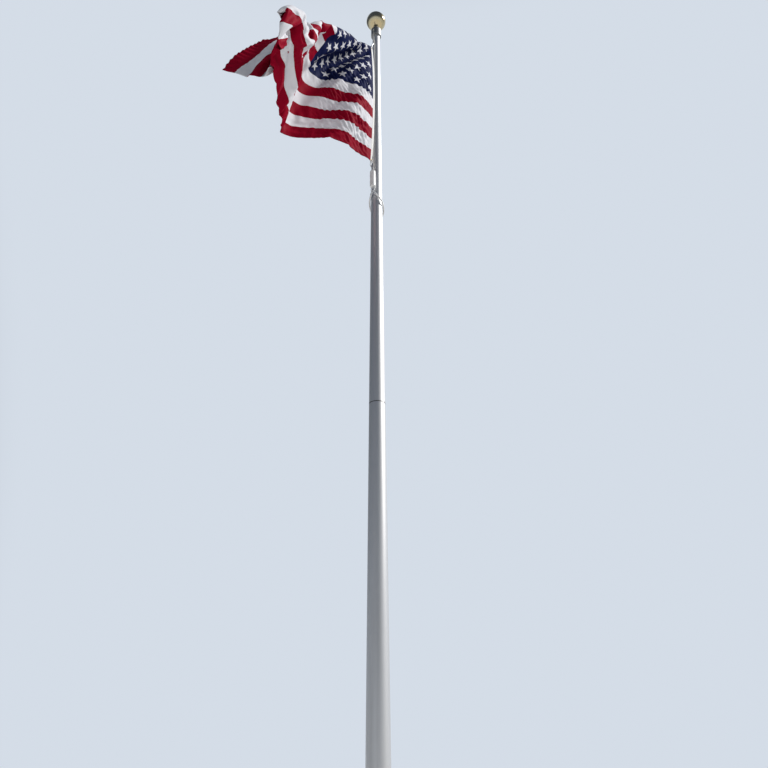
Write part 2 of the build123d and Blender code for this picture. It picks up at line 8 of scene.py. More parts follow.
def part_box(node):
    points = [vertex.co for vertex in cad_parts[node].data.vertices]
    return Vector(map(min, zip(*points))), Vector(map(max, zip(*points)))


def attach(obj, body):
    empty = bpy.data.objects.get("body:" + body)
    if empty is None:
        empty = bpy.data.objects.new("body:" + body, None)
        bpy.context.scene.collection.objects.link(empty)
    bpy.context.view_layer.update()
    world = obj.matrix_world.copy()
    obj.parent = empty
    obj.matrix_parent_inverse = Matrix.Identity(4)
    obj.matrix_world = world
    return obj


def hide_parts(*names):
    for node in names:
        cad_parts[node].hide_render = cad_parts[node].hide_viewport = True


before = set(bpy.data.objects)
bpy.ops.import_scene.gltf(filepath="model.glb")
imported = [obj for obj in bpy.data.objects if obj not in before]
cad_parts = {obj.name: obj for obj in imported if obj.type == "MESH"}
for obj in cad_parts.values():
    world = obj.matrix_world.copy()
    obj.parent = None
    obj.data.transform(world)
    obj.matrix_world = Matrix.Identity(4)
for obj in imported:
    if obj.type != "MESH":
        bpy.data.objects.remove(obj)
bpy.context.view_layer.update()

# Pole: two sections of spun, tapered aluminium tube that meet in a hairline seam over an inner sleeve.
# The tube is sanded round and round to a satin finish, and rain has drawn faint streaks down it.
satin_light = (0.66, 0.665, 0.675, 1)
satin_dark = (0.54, 0.545, 0.555, 1)
satin_metal = 0.85
satin_roughness = 0.42
streak_roughness = 0.12
streak_spread = (16, 16, 0.5)
streak_contrast = 2.4
sanding_spread = (6, 6, 1400)
sanding_depth = 0.00006
# The seam's hairline gap is painted near-black in a narrow band round the pole: painted shade standing in
# for the shadow inside the gap.
seam_shade_colour = (0.05, 0.048, 0.045, 1)
seam_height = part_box("butt_section")[1].z
seam_shade_width = 0.010
sleeve_colour = (0.40, 0.41, 0.42, 1)
sleeve_spread = (300, 300, 2)
even = (1, 1, 1)


def add_node(tree, kind, settings=None, **sockets):
    """Adds a node. Each socket gets a number, a colour or the output of another node."""
    node = tree.nodes.new(kind)
    for name, value in (settings or {}).items():
        setattr(node, name, value)
    wire(tree, node, **sockets)
    return node


def wire(tree, node, **sockets):
    """Sets or links a node's sockets. An underscore in a socket's name stands for a space."""
    for name, value in sockets.items():
        fill_socket(tree, node.inputs[name.replace("_", " ")], value)


def fill_socket(tree, socket, value):
    if isinstance(value, bpy.types.NodeSocket):
        tree.links.new(value, socket)
    else:
        socket.default_value = value


def reckon(tree, operation, *values):
    """A maths node on one, two or three values."""
    node = tree.nodes.new("ShaderNodeMath")
    node.operation = operation
    for place, value in enumerate(values):
        fill_socket(tree, node.inputs[place], value)
    return node.outputs[0]


def vary(tree, mask, rise, least):
    """A value that rises from its least as the mask does."""
    return reckon(tree, "MULTIPLY_ADD", mask, rise, least)


def mix_colours(tree, share, first, second):
    node = tree.nodes.new("ShaderNodeMix")
    node.data_type = "RGBA"
    fill_socket(tree, node.inputs[0], share)
    fill_socket(tree, node.inputs[6], first)
    fill_socket(tree, node.inputs[7], second)
    return node.outputs[2]


def stretch(tree, scale):
    """The object's own coordinates, in metres, each scaled by its own number."""
    place = add_node(tree, "ShaderNodeTexCoord")
    return add_node(
        tree, "ShaderNodeMapping", {"vector_type": "TEXTURE"}, Vector=place.outputs["Object"],
        Scale=[1 / share for share in scale],
    ).outputs[0]


def grain(tree, spread, size=1.0, detail=3.0):
    """Fine noise over the object's own coordinates."""
    return add_node(
        tree, "ShaderNodeTexNoise", Vector=stretch(tree, spread), Scale=size, Detail=detail,
    ).outputs[0]


def start_material(name, **sockets):
    """A material with a Principled shader, whose constant values are set on the shader's own sockets."""
    material = bpy.data.materials.new(name)
    material.use_nodes = True
    tree = material.node_tree
    tree.nodes.clear()
    shader = add_node(tree, "ShaderNodeBsdfPrincipled", **sockets)
    output = tree.nodes.new("ShaderNodeOutputMaterial")
    tree.links.new(shader.outputs[0], output.inputs[0])
    return material, tree, shader


def start_group(name, inputs, outputs):
    """An empty node group with named inputs, each with its usual value, and named outputs."""
    group = bpy.data.node_groups.new(name, "ShaderNodeTree")
    for title, kind, value in inputs:
        socket = group.interface.new_socket(title, in_out="INPUT", socket_type=kind)
        if value is not None:
            socket.default_value = value
    for title, kind in outputs:
        group.interface.new_socket(title, in_out="OUTPUT", socket_type=kind)
    return group, group.nodes.new("NodeGroupInput"), group.nodes.new("NodeGroupOutput")


def use_group(tree, group, **sockets):
    return add_node(tree, "ShaderNodeGroup", {"node_tree": group}, **sockets).outputs[0]


# Mottling: soft blotches, for tarnish, dust, streaks and uneven dye.
mottle, mottle_in, mottle_out = start_group(
    "mottle",
    [("Vector", "NodeSocketVector", None), ("Size", "NodeSocketFloat", 8.0),
     ("Contrast", "NodeSocketFloat", 2.0)],
    [("Mask", "NodeSocketFloat")],
)
coarse = add_node(
    mottle, "ShaderNodeTexNoise",
    Vector=mottle_in.outputs["Vector"], Scale=mottle_in.outputs["Size"], Detail=6.0,
)
centred = reckon(mottle, "SUBTRACT", coarse.outputs[0], 0.5)
spread = reckon(mottle, "MULTIPLY_ADD", centred, mottle_in.outputs["Contrast"], 0.5)
clipped = add_node(mottle, "ShaderNodeClamp", Value=spread)
mottle.links.new(clipped.outputs[0], mottle_out.inputs["Mask"])


def blotches(tree, size, contrast, spread=even):
    return use_group(tree, mottle, Vector=stretch(tree, spread), Size=size, Contrast=contrast)


def relief(tree, height, distance):
    return add_node(tree, "ShaderNodeBump", Height=height, Distance=distance, Strength=1.0).outputs[0]


def dress(material, *nodes):
    for name in nodes:
        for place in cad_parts[name].material_slots:
            place.material = material


satin, tree, shader = start_material("satin_aluminium_tube", Metallic=satin_metal)
streaks = blotches(tree, 1.0, streak_contrast, streak_spread)
parts = add_node(tree, "ShaderNodeSeparateXYZ", Vector=stretch(tree, even))
# Painted shade: a narrow band at the seam's height takes the near-black seam colour in place of the gap's
# shadow.
above = reckon(tree, "ABSOLUTE", reckon(tree, "SUBTRACT", parts.outputs["Z"], seam_height))
seam = reckon(tree, "LESS_THAN", above, seam_shade_width / 2)
wire(
    tree, shader,
    Base_Color=mix_colours(tree, seam, mix_colours(tree, streaks, satin_light, satin_dark), seam_shade_colour),
    Roughness=vary(tree, streaks, streak_roughness, satin_roughness),
    Normal=relief(tree, grain(tree, sanding_spread), sanding_depth),
)
dress(satin, "butt_section", "upper_section", "access_door")

mill, tree, shader = start_material("mill_aluminium_sleeve", Metallic=1.0, Base_Color=sleeve_colour)
wire(tree, shader, Roughness=vary(tree, grain(tree, sleeve_spread, detail=2.0), 0.2, 0.3))
dress(mill, "splice_sleeve")

# Flash collar: a sheet-aluminium bell, spun on a lathe, which covers the hole in the ground.
# Fine spinning rings run round it, and its foot is dusty. A rubber seal lies round the pole above it.
collar_light = (0.52, 0.53, 0.54, 1)
collar_dust = (0.36, 0.34, 0.30, 1)
dust_height = 0.09
dust_size = 22.0
dust_contrast = 2.6
ring_spread = (1, 1, 700)
ring_depth = 0.0002
rubber_colour = (0.02, 0.02, 0.021, 1)
pore_size = 420.0
pore_depth = 0.0003
spun, tree, shader = start_material("spun_aluminium_collar", Metallic=1.0)
parts = add_node(tree, "ShaderNodeSeparateXYZ", Vector=stretch(tree, even))
low = add_node(
    tree, "ShaderNodeMapRange",
    Value=parts.outputs["Z"], From_Min=0.0, From_Max=dust_height, To_Min=1.0, To_Max=0.0,
)
dust = reckon(tree, "MULTIPLY", low.outputs[0], blotches(tree, dust_size, dust_contrast))
wire(
    tree, shader,
    Base_Color=mix_colours(tree, dust, collar_light, collar_dust),
    Roughness=vary(tree, dust, 0.4, 0.3),
    Normal=relief(tree, grain(tree, ring_spread), ring_depth),
)
dress(spun, "flash_collar")

rubber, tree, shader = start_material("black_rubber_seal", Base_Color=rubber_colour)
pores = grain(tree, even, pore_size, detail=2.0)
wire(tree, shader, Roughness=vary(tree, pores, 0.2, 0.6), Normal=relief(tree, pores, pore_depth))
dress(rubber, "collar_seal")

# Access door: a cast frame let into the butt, a door cut from the same tube, two screws and a cam lock.
# The casting is fettled smooth but keeps a fine sandy skin.
cast_light = (0.36, 0.365, 0.37, 1)
cast_dark = (0.24, 0.245, 0.25, 1)
cast_patch = 30.0
cast_contrast = 2.2
skin_size = 900.0
skin_depth = 0.0004
steel_light = (0.50, 0.50, 0.51, 1)
steel_dark = (0.38, 0.38, 0.39, 1)
brushed_spread = (900, 900, 60)
brushed_depth = 0.00005
chrome_colour = (0.58, 0.59, 0.60, 1)
rubbed_size = 300.0
cast, tree, shader = start_material("cast_aluminium", Metallic=1.0)
skin = grain(tree, even, skin_size, detail=4.0)
wire(
    tree, shader,
    Base_Color=mix_colours(tree, blotches(tree, cast_patch, cast_contrast), cast_light, cast_dark),
    Roughness=vary(tree, skin, 0.25, 0.4),
    Normal=relief(tree, skin, skin_depth),
)
dress(cast, "door_frame", "truck_spindle", "truck_body", "truck_cap")

steel, tree, shader = start_material("brushed_stainless_steel", Metallic=1.0)
brushed = grain(tree, brushed_spread)
wire(
    tree, shader,
    Base_Color=mix_colours(tree, brushed, steel_light, steel_dark),
    Roughness=vary(tree, brushed, 0.2, 0.2),
    Normal=relief(tree, brushed, brushed_depth),
)
dress(steel, "door_screws", "sheave_pin", "ball_stem", "stem_nut")

chrome, tree, shader = start_material("chrome_lock", Metallic=1.0, Base_Color=chrome_colour)
wire(tree, shader, Roughness=vary(tree, blotches(tree, rubbed_size, 2.0), 0.12, 0.1))
dress(chrome, "door_lock")

# Sheave: a grooved wheel turned from nylon, on a stainless pin inside the revolving truck.
# The lathe leaves fine marks in it.
nylon_light = (0.70, 0.67, 0.58, 1)
nylon_dark = (0.60, 0.57, 0.48, 1)
tool_mark_size = 600.0
nylon, tree, shader = start_material("turned_nylon_sheave")
tool_marks = grain(tree, even, tool_mark_size, detail=2.0)
wire(
    tree, shader,
    Base_Color=mix_colours(tree, tool_marks, nylon_light, nylon_dark),
    Roughness=vary(tree, tool_marks, 0.15, 0.35),
)
dress(nylon, "sheave")

# Ball finial: a 12 inch ball spun from aluminium sheet and gold anodised, on a threaded stem and a lock
# nut. The anodising is thinner where the weather has worn it, which leaves soft pale patches.
gold_deep = (0.52, 0.40, 0.19, 1)
gold_pale = (0.64, 0.57, 0.40, 1)
worn_size = 5.0
worn_contrast = 1.8
lathe_spread = (2, 2, 260)
lathe_depth = 0.00012
gold, tree, shader = start_material(
    "gold_anodised_ball", Metallic=1.0, Coat_Weight=0.3, Coat_Roughness=0.12,
)
worn = blotches(tree, worn_size, worn_contrast)
wire(
    tree, shader,
    Base_Color=mix_colours(tree, worn, gold_deep, gold_pale),
    Roughness=vary(tree, worn, 0.1, 0.16),
    Normal=relief(tree, grain(tree, lathe_spread), lathe_depth),
)
dress(gold, "ball_finial")

# Halyard: plaited polyester rope. It comes up inside the pole, turns over the sheave and ends in a knot,
# and its tail goes on down to the counterweight. The plait's strands stand out as a fine relief.
rope_radius = 0.00475
rope_strands = 8
strand_pitch = 0.024
strand_depth = 0.14
lead_angle = math.radians(240)
lead_way = Vector((math.cos(lead_angle), math.sin(lead_angle), 0))
across_way = Vector((-lead_way.y, lead_way.x, 0))
sheave_pitch = 0.035
rope_reach = 2 * sheave_pitch
plug_foot = 12.072
sheave_height = 12.305
sheave_steps = 24
knot_head = 12.053
knot_foot = 12.007
knot_coil = 0.0062
knot_turns = 14 / 3
knot_steps = 160
tail_side = 0.01405
weight_angle = math.radians(245)
rope_sides = 20
ring_step = 0.0015
tail_sides = 16
tail_step = 0.002
rope_light = (0.78, 0.77, 0.74, 1)
rope_dark = (0.62, 0.60, 0.55, 1)
soil_spread = (1, 1, 0.25)
soil_size = 40.0
soil_contrast = 2.4
fibre_spread = (1, 1, 0.4)
fibre_size = 2400.0
fibre_depth = 0.0003


def tube_mesh(points, radii_at, sides):
    """Vertices and faces of a closed tube along points. radii_at(ring, angle) gives its radius."""
    points = np.array([tuple(point) for point in points])
    along = np.gradient(points, axis=0)
    along /= np.linalg.norm(along, axis=1)[:, None]
    any_other_way = (0.31, 0.94, 0.12)
    first = np.cross(along[0], any_other_way)
    sideways = [first / np.linalg.norm(first)]
    for step in along[1:]:
        turned = sideways[-1] - step * (sideways[-1] @ step)
        sideways.append(turned / np.linalg.norm(turned))
    sideways = np.array(sideways)
    other = np.cross(along, sideways)
    angles = np.linspace(0, 2 * np.pi, sides, endpoint=False)
    length = np.concatenate([[0], np.cumsum(np.linalg.norm(np.diff(points, axis=0), axis=1))])
    radii = radii_at(length[:, None], angles[None, :])
    rings = points[:, None] + radii[..., None] * (
        np.cos(angles)[None, :, None] * sideways[:, None] + np.sin(angles)[None, :, None] * other[:, None]
    )
    vertices = rings.reshape(-1, 3)
    count = len(points)
    faces = [
        (ring * sides + side, ring * sides + (side + 1) % sides,
         (ring + 1) * sides + (side + 1) % sides, (ring + 1) * sides + side)
        for ring in range(count - 1) for side in range(sides)
    ]
    faces.append(tuple(range(sides - 1, -1, -1)))
    faces.append(tuple((count - 1) * sides + side for side in range(sides)))
    return vertices, faces


def make_piece(name, vertices, faces, material):
    mesh = bpy.data.meshes.new(name)
    mesh.from_pydata([tuple(vertex) for vertex in vertices], [], faces)
    mesh.update()
    for face in mesh.polygons:
        face.use_smooth = True
    mesh.materials.append(material)
    piece = bpy.data.objects.new(name, mesh)
    bpy.context.scene.collection.objects.link(piece)
    return piece


def plait(length, angle):
    """The radius of plaited rope: two sets of strands cross, and the upper one shows."""
    turn = 2 * np.pi * length / strand_pitch
    one = np.abs(np.cos(rope_strands / 2 * (angle + turn / rope_strands * 2)))
    two = np.abs(np.cos(rope_strands / 2 * (angle - turn / rope_strands * 2)))
    return rope_radius * (1 - strand_depth + strand_depth * np.maximum(one, two))


def steps_between(start, end, size):
    count = max(2, int((Vector(end) - Vector(start)).length / size))
    return [Vector(start).lerp(Vector(end), step / count) for step in range(count + 1)]


def at_height(flat_place, height):
    return flat_place + Vector((0, 0, height))


rope, tree, shader = start_material("white_polyester_rope", Roughness=0.75, Sheen_Weight=0.3)
soiling = blotches(tree, soil_size, soil_contrast, soil_spread)
fibres = grain(tree, fibre_spread, fibre_size, detail=2.0)
wire(
    tree, shader,
    Base_Color=mix_colours(tree, soiling, rope_light, rope_dark),
    Normal=relief(tree, fibres, fibre_depth),
)

knot_centre = lead_way * rope_reach
sheave_top = [
    at_height(
        lead_way * (sheave_pitch - sheave_pitch * math.cos(math.pi * step / sheave_steps)),
        sheave_height + sheave_pitch * math.sin(math.pi * step / sheave_steps),
    )
    for step in range(1, sheave_steps)
]
halyard_route = [
    *steps_between((0, 0, plug_foot), (0, 0, sheave_height), ring_step),
    *sheave_top,
    *steps_between(at_height(knot_centre, sheave_height), at_height(knot_centre, knot_head), ring_step),
]
halyard = make_piece("plaited_halyard", *tube_mesh(halyard_route, plait, rope_sides), rope)
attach(halyard, "truck")
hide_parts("halyard")

knot_route = [
    knot_centre + Vector((
        knot_coil * math.cos(2 * math.pi * knot_turns * share),
        knot_coil * math.sin(2 * math.pi * knot_turns * share),
        knot_foot + rope_radius + (knot_head - knot_foot - 2 * rope_radius) * share,
    ))
    for share in (step / knot_steps for step in range(knot_steps + 1))
]
knot = make_piece("halyard_hitch", *tube_mesh(knot_route, plait, rope_sides), rope)
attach(knot, "truck")
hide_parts("halyard_knot")

# The tail runs straight from the knot to the counterweight's upper eye, beside the header.
weight_across = Vector((-math.sin(weight_angle), math.cos(weight_angle), 0))
tail_low, tail_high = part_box("halyard_tail")
tail_start = knot_centre + across_way * tail_side + Vector((0, 0, tail_high.z))
eye_low, eye_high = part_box("weight_eyes")
eye_middle = (eye_low + eye_high) / 2
tail_end = Vector((eye_middle.x, eye_middle.y, tail_low.z)) + weight_across * tail_side
tail = make_piece(
    "halyard_fall", *tube_mesh(steps_between(tail_start, tail_end, tail_step), plait, tail_sides), rope,
)
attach(tail, "truck")
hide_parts("halyard_tail")

# Header: white canvas heading tape down the hoist, folded over and sewn with two rows of thread.
# A rolled brass grommet is set into each end, and the pull of the cloth bows it out from the pole.
header_top = Vector((-0.056, -0.080, 11.820))
header_middle = Vector((-0.020, -0.190, 10.645))
header_bottom = Vector((-0.060, -0.092, 9.425))
header_lean = Vector((-0.024, -0.048, 0))
header_width = header_lean.length
header_length = 2.409
header_thick = 0.0034
header_edge = 0.0012
fold_share = 0.34
header_steps = 240
header_columns = 12
pucker_height = 0.0006
puckers = 46
brass_light = (0.55, 0.38, 0.14, 1)
brass_dark = (0.33, 0.20, 0.07, 1)
tarnish_size = 120.0
tarnish_contrast = 2.4
canvas_light = (0.80, 0.80, 0.79, 1)
canvas_dark = (0.66, 0.66, 0.65, 1)
canvas_soil_size = 9.0
canvas_soil_contrast = 2.0
canvas_thread = 0.0011
canvas_relief = 0.0004
sewing_colour = (0.50, 0.50, 0.49, 1)
sewing_rows = 0.0178
sewing_thread = 0.0007
sewing_stitch = 0.004
sewing_depth = 1.6


def arc_through(first, middle, last, share):
    """A point at a share of the way round the arc through three points."""
    one, two = middle - first, last - first
    normal = one.cross(two)
    centre = first + (normal.cross(one) * two.length_squared + two.cross(normal) * one.length_squared) / (
        2 * normal.length_squared
    )
    start = first - centre
    whole = start.angle(middle - centre) + (middle - centre).angle(last - centre)
    return centre + Matrix.Rotation(whole * share, 3, normal) @ start


brass, tree, shader = start_material("rolled_brass_grommet", Metallic=1.0)
tarnish = blotches(tree, tarnish_size, tarnish_contrast)
wire(
    tree, shader,
    Base_Color=mix_colours(tree, tarnish, brass_light, brass_dark),
    Roughness=vary(tree, tarnish, 0.25, 0.2),
)
dress(brass, "header_grommets")

# Weave: plain weave from the cloth's own coordinates, as a height.
weave, weave_in, weave_out = start_group(
    "weave",
    [("Fly", "NodeSocketFloat", 0.0), ("Drop", "NodeSocketFloat", 0.0),
     ("Thread", "NodeSocketFloat", 0.0006)],
    [("Height", "NodeSocketFloat")],
)
threads = []
for title in ("Fly", "Drop"):
    turns = reckon(weave, "DIVIDE", weave_in.outputs[title], weave_in.outputs["Thread"])
    threads.append(reckon(weave, "SINE", reckon(weave, "MULTIPLY", turns, math.pi)))
crossing = reckon(weave, "MULTIPLY", threads[0], threads[1])
weave.links.new(reckon(weave, "MULTIPLY_ADD", crossing, 0.5, 0.5), weave_out.inputs["Height"])

# Stitches: rows of thread along lines of one coordinate. A row lies at each multiple of its spacing.
thread_shows = 0.72
stitches, stitches_in, stitches_out = start_group(
    "stitches",
    [("Across", "NodeSocketFloat", 0.0), ("Along", "NodeSocketFloat", 0.0),
     ("Spacing", "NodeSocketFloat", 0.01), ("Thickness", "NodeSocketFloat", 0.0008),
     ("Stitch", "NodeSocketFloat", 0.0035)],
    [("Mask", "NodeSocketFloat")],
)
offset = reckon(stitches, "PINGPONG", stitches_in.outputs["Across"],
                reckon(stitches, "MULTIPLY", stitches_in.outputs["Spacing"], 0.5))
row = reckon(stitches, "LESS_THAN", offset, stitches_in.outputs["Thickness"])
dash = reckon(stitches, "FRACT", reckon(stitches, "DIVIDE", stitches_in.outputs["Along"],
                                        stitches_in.outputs["Stitch"]))
sewn = reckon(stitches, "MULTIPLY", row, reckon(stitches, "LESS_THAN", dash, thread_shows))
stitches.links.new(sewn, stitches_out.inputs["Mask"])


def cloth_places(tree, width, height):
    """Distance along the fly and down from the top hem, in metres, from the cloth's UV map."""
    place = add_node(tree, "ShaderNodeUVMap", {"uv_map": "cloth"})
    parts = add_node(tree, "ShaderNodeSeparateXYZ", Vector=place.outputs[0])
    return (
        reckon(tree, "MULTIPLY", parts.outputs["X"], width),
        reckon(tree, "MULTIPLY_ADD", parts.outputs["Y"], -height, height),
    )


def map_cloth(piece, places):
    """Gives a piece its UV map, from one (u, v) pair for each vertex."""
    layer = piece.data.uv_layers.new(name="cloth")
    corners = np.zeros(len(piece.data.loops), dtype=np.int32)
    piece.data.loops.foreach_get("vertex_index", corners)
    layer.data.foreach_set("uv", np.asarray(places, dtype=np.float32)[corners].ravel())


canvas, tree, shader = start_material("white_canvas_header", Roughness=0.85, Sheen_Weight=0.2)
fly, drop = cloth_places(tree, header_width, header_length)
texture = use_group(tree, weave, Fly=fly, Drop=drop, Thread=canvas_thread)
seams = use_group(
    tree, stitches, Across=fly, Along=drop, Spacing=sewing_rows, Thickness=sewing_thread,
    Stitch=sewing_stitch,
)
soiled = blotches(tree, canvas_soil_size, canvas_soil_contrast)
plain = mix_colours(tree, soiled, canvas_light, canvas_dark)
wire(
    tree, shader,
    Base_Color=mix_colours(tree, seams, plain, sewing_colour),
    Normal=relief(tree, reckon(tree, "MULTIPLY_ADD", seams, -sewing_depth, texture), canvas_relief),
)


def two_sided(front, normals, thickness, uvs):
    """A closed thin piece from one sheet of points: vertices, faces and UV places."""
    rows, columns = front.shape[:2]
    half = normals * thickness[..., None] / 2
    vertices = np.concatenate([(front + half).reshape(-1, 3), (front - half).reshape(-1, 3)])
    index = np.arange(rows * columns).reshape(rows, columns)
    back = index + rows * columns
    quads = [
        np.stack([index[:-1, :-1], index[1:, :-1], index[1:, 1:], index[:-1, 1:]], -1).reshape(-1, 4),
        np.stack([back[:-1, :-1], back[:-1, 1:], back[1:, 1:], back[1:, :-1]], -1).reshape(-1, 4),
    ]
    for rim in (index[:, 0], index[-1, :], index[::-1, -1], index[0, ::-1]):
        under = rim + rows * columns
        quads.append(np.stack([rim[:-1], under[:-1], under[1:], rim[1:]], -1))
    faces = np.concatenate(quads)
    return vertices, [tuple(int(corner) for corner in face) for face in faces], np.concatenate([uvs, uvs])


def sheet_normals(points):
    across = np.cross(np.gradient(points, axis=0), np.gradient(points, axis=1))
    return across / (np.linalg.norm(across, axis=-1, keepdims=True) + 1e-12)


hoist_line = [
    arc_through(header_top, header_middle, header_bottom, step / header_steps)
    for step in range(header_steps + 1)
]
header_sheet = np.array([
    [tuple(point + header_lean * (column / header_columns)) for point in hoist_line]
    for column in range(header_columns + 1)
])
across = np.linspace(0, 1, header_columns + 1)[:, None]
down = np.linspace(0, 1, header_steps + 1)[None, :]
pucker = pucker_height * np.sin(down * 2 * np.pi * puckers) * np.sin(across * np.pi)
header_facing = sheet_normals(header_sheet)
header_sheet = header_sheet + header_facing * pucker[..., None]
at_fold = (across < fold_share) | (across > 1 - fold_share)
folded = np.where(at_fold, header_thick, header_thick - header_edge)
header_places = np.stack(np.broadcast_arrays(across, 1 - down), -1).reshape(-1, 2)
vertices, faces, places = two_sided(
    header_sheet, header_facing, np.broadcast_to(folded, header_sheet.shape[:2]), header_places,
)
header = make_piece("canvas_header", vertices, faces, canvas)
map_cloth(header, places)
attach(header, "truck")
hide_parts("flag_header")

# Flag: 8 by 12 ft of sewn nylon, with thirteen stripes and a canton of fifty embroidered stars.
# The wind folds it double. It is laid through places on the real cloth, then eased in steps until every
# thread has its cut length again, so it bends and never stretches.
flag_fly = 3.60
flag_hoist = 2.40
stripe = flag_hoist / 13
canton_fly = 1.44
canton_drop = 7 * stripe
cloth_gap = 0.0012
hoist_places = 9
plate_give = 0.002
place_pull = 0.3
place_share = 0.35
thread_give = 0.9
bias_give = 0.35
first_grid = (24, 16)
second_grid = (48, 32)
third_grid = (96, 64)
last_grid = (240, 156)
coarse_rounds = 150
coarse_smoothing = 0.03
fine_rounds = 100
fine_smoothing = 0.05
# Each row is a distance along the fly. Its places lie at these seams, counted in stripes from the top.
row_stripes = (0, 2, 4, 5.5, 7, 8.5, 10, 12, 13)
cloth_rows = {
    0.15: [(-0.20, -0.23, 11.74), (-0.17, -0.25, 11.43), (-0.11, -0.35, 11.09), (-0.10, -0.38, 10.80),
           (-0.11, -0.40, 10.51), (-0.12, -0.37, 10.24), (-0.13, -0.34, 9.96), (-0.17, -0.28, 9.59),
           (-0.18, -0.24, 9.41)],
    0.40: [(-0.30, -0.30, 11.50), (-0.35, -0.38, 11.39), (-0.32, -0.47, 11.05), (-0.30, -0.52, 10.79),
           (-0.30, -0.54, 10.50), (-0.28, -0.53, 10.22), (-0.29, -0.52, 9.95), (-0.33, -0.46, 9.58),
           (-0.35, -0.43, 9.40)],
    0.70: [(-0.37, -0.51, 11.35), (-0.29, -0.59, 11.20), (-0.57, -0.57, 11.00), (-0.57, -0.61, 10.74),
           (-0.56, -0.65, 10.46), (-0.56, -0.62, 10.20), (-0.57, -0.59, 9.93), (-0.58, -0.60, 9.55),
           (-0.58, -0.61, 9.37)],
    1.00: [(-0.46, -0.67, 11.19), (-0.35, -0.87, 11.13), (-0.53, -0.80, 10.84), (-0.74, -0.79, 10.70),
           (-0.83, -0.72, 10.44), (-0.85, -0.69, 10.17), (-0.86, -0.67, 9.90), (-0.87, -0.65, 9.53),
           (-0.87, -0.65, 9.33)],
    1.25: [(-0.54, -0.87, 11.06), (-0.53, -1.02, 11.04), (-0.54, -1.02, 10.76), (-0.71, -0.98, 10.56),
           (-0.91, -0.92, 10.38), (-1.03, -0.83, 10.14), (-1.08, -0.77, 9.87), (-1.12, -0.70, 9.50),
           (-1.11, -0.69, 9.32)],
    1.50: [(-0.64, -1.01, 10.88), (-0.68, -1.08, 10.86), (-0.55, -1.25, 10.67), (-0.75, -1.20, 10.51),
           (-0.88, -1.13, 10.28), (-1.03, -1.07, 10.06), (-1.14, -0.98, 9.82), (-1.19, -0.90, 9.44),
           (-1.23, -0.85, 9.29)],
    1.80: [(-0.84, -1.12, 10.65), (-0.80, -1.11, 10.59), (-0.64, -1.36, 10.50), (-0.75, -1.48, 10.43),
           (-0.82, -1.42, 10.19), (-0.96, -1.35, 9.97), (-1.03, -1.25, 9.72), (-1.14, -1.16, 9.40),
           (-1.21, -1.11, 9.27)],
    2.10: [(-1.03, -1.30, 10.48), (-0.91, -1.24, 10.35), (-0.88, -1.42, 10.34), (-0.80, -1.66, 10.24),
           (-0.75, -1.67, 10.08), (-0.86, -1.60, 9.85), (-0.93, -1.52, 9.60), (-1.11, -1.43, 9.35),
           (-1.20, -1.38, 9.23)],
    2.40: [(-1.16, -1.46, 10.24), (-1.00, -1.41, 10.12), (-0.93, -1.45, 10.05), (-0.92, -1.72, 10.00),
           (-0.80, -1.89, 9.89), (-0.74, -1.83, 9.69), (-0.86, -1.80, 9.47), (-1.08, -1.71, 9.27),
           (-1.17, -1.66, 9.17)],
    2.70: [(-1.38, -1.59, 10.09), (-1.10, -1.58, 9.90), (-1.07, -1.59, 9.85), (-0.91, -1.75, 9.76),
           (-0.84, -1.97, 9.71), (-0.79, -1.99, 9.62), (-0.81, -2.07, 9.35), (-1.06, -1.98, 9.19),
           (-1.15, -1.94, 9.11)],
    2.95: [(-1.51, -1.66, 9.88), (-1.21, -1.70, 9.71), (-1.15, -1.67, 9.65), (-1.05, -1.88, 9.61),
           (-0.96, -2.10, 9.62), (-0.83, -2.25, 9.46), (-0.81, -2.28, 9.26), (-1.07, -2.21, 9.11),
           (-1.14, -2.17, 9.04)],
    3.15: [(-1.61, -1.72, 9.71), (-1.31, -1.77, 9.55), (-1.15, -1.72, 9.50), (-1.12, -1.90, 9.48),
           (-1.02, -2.19, 9.44), (-0.87, -2.38, 9.45), (-0.83, -2.42, 9.29), (-1.00, -2.33, 9.21),
           (-1.05, -2.26, 9.19)],
    3.35: [(-1.70, -1.77, 9.54), (-1.41, -1.78, 9.37), (-1.18, -1.78, 9.34), (-1.09, -1.95, 9.32),
           (-1.04, -2.24, 9.31), (-0.93, -2.48, 9.35), (-0.85, -2.55, 9.25), (-0.93, -2.48, 8.93),
           (-0.97, -2.40, 8.94)],
    3.60: [(-1.82, -1.75, 9.32), (-1.50, -1.82, 9.08), (-1.21, -1.93, 9.14), (-1.12, -1.95, 9.24),
           (-1.05, -2.25, 9.14), (-0.98, -2.52, 9.13), (-0.93, -2.66, 9.14), (-1.04, -2.60, 8.72),
           (-1.06, -2.52, 8.70)],
}
# The eleventh seam, where the end of the fly hangs back over its own fold.
fold_seam = 11
fold_points = {
    2.40: (-0.97, -1.75, 9.38), 2.70: (-0.94, -2.03, 9.27), 2.95: (-0.94, -2.25, 9.18),
    3.15: (-0.93, -2.38, 9.26), 3.35: (-0.90, -2.55, 9.02), 3.60: (-1.02, -2.66, 8.90),
}
# The lower hem, between its corner below the fold and the hanging fly.
hem_points = {1.38: (-1.23, -0.77, 9.27), 1.60: (-1.22, -0.94, 9.28), 1.95: (-1.20, -1.25, 9.23)}


def hoist_edge(share):
    spot = arc_through(header_top, header_middle, header_bottom, share)
    return tuple(spot + header_lean * (1 + cloth_gap / header_width))


known_places = [(0, share * flag_hoist) for share in np.linspace(0, 1, hoist_places)]
known_points = [hoist_edge(share) for share in np.linspace(0, 1, hoist_places)]
for row_fly, row_points in cloth_rows.items():
    known_places += [(row_fly, stripes * stripe) for stripes in row_stripes]
    known_points += row_points
known_places += [(fold_fly, fold_seam * stripe) for fold_fly in fold_points]
known_points += list(fold_points.values())
known_places += [(hem_fly, flag_hoist) for hem_fly in hem_points]
known_points += list(hem_points.values())
known_places = np.array(known_places, dtype=float)
known_points = np.array(known_points, dtype=float)


